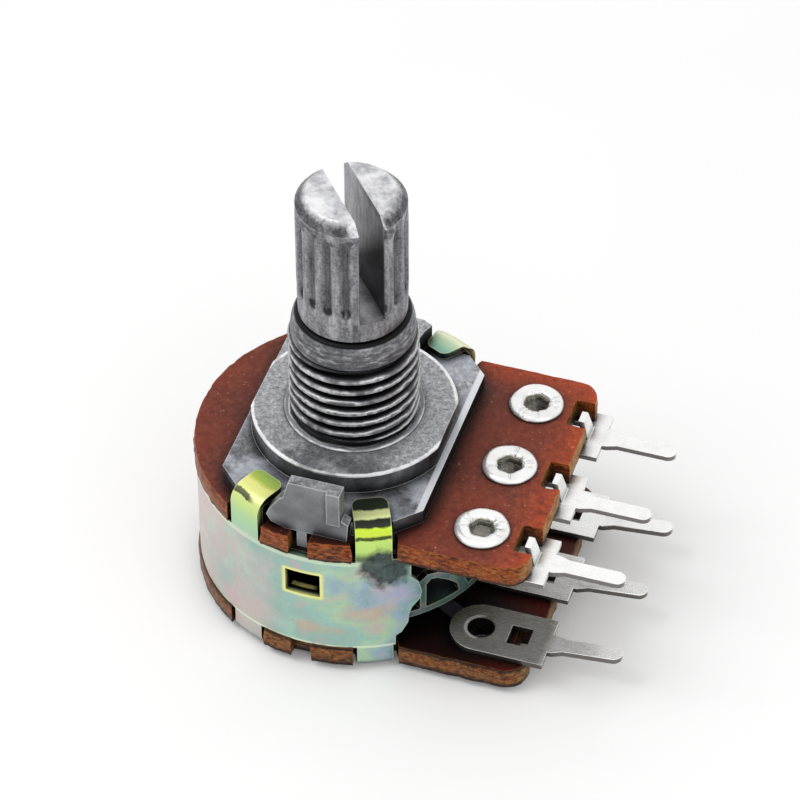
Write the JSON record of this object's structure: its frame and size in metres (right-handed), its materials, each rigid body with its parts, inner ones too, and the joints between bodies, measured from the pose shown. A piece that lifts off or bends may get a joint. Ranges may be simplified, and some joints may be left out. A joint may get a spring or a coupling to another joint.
{
  "type": "rotary potentiometer",
  "caption": "Panel-mount dual-gang rotary potentiometer with a threaded bushing, a knurled split shaft and solder pins on two stacked boards.",
  "frame": {"origin": "on the shaft's axis, in the mounting face at the foot of the threaded bushing", "axes": "+Z along the shaft to its tip; +X from the axis to the terminals; the locating lug is on the -Y side"},
  "size_m": [0.0253, 0.0174, 0.0266],
  "materials": {
    "shaft": "drawn, dull grey",
    "casting": "zinc die casting, fine grain, bright edges",
    "clip": "plain spring steel",
    "board": "paper-phenolic laminate, satin face, rough punched edge",
    "carbon_track": "printed carbon film",
    "silver_track": "printed silver film",
    "terminal": "bright tin plating",
    "shell": "pale iridescent passivated zinc plating",
    "rotor": "moulded, dark",
    "wiper": "plain spring brass"
  },
  "bodies": {
    "housing": {"bushing_plate": "casting", "front_board": "board", "rear_board": "board", "front_resistive_track": "carbon_track", "front_collector_track": "silver_track", "rear_resistive_track": "carbon_track", "rear_collector_track": "silver_track", "front_terminal_1": "terminal", "front_terminal_2": "terminal", "front_terminal_3": "terminal", "rear_terminal_1": "terminal", "rear_terminal_2": "terminal", "rear_terminal_3": "terminal", "housing_shell": "shell", "mid_plate": "shell"},
    "rotor": {"shaft": "shaft", "retaining_clip": "clip", "front_rotor": "rotor", "rear_rotor": "rotor", "front_wiper": "wiper", "rear_wiper": "wiper"}
  },
  "joints": [
    {"name": "shaft_turn", "type": "hinge", "parent": "housing", "child": "rotor", "pos_m": [0, 0, 0], "axis": [0, 0, 1], "range_deg": [-150, 150]}
  ]
}
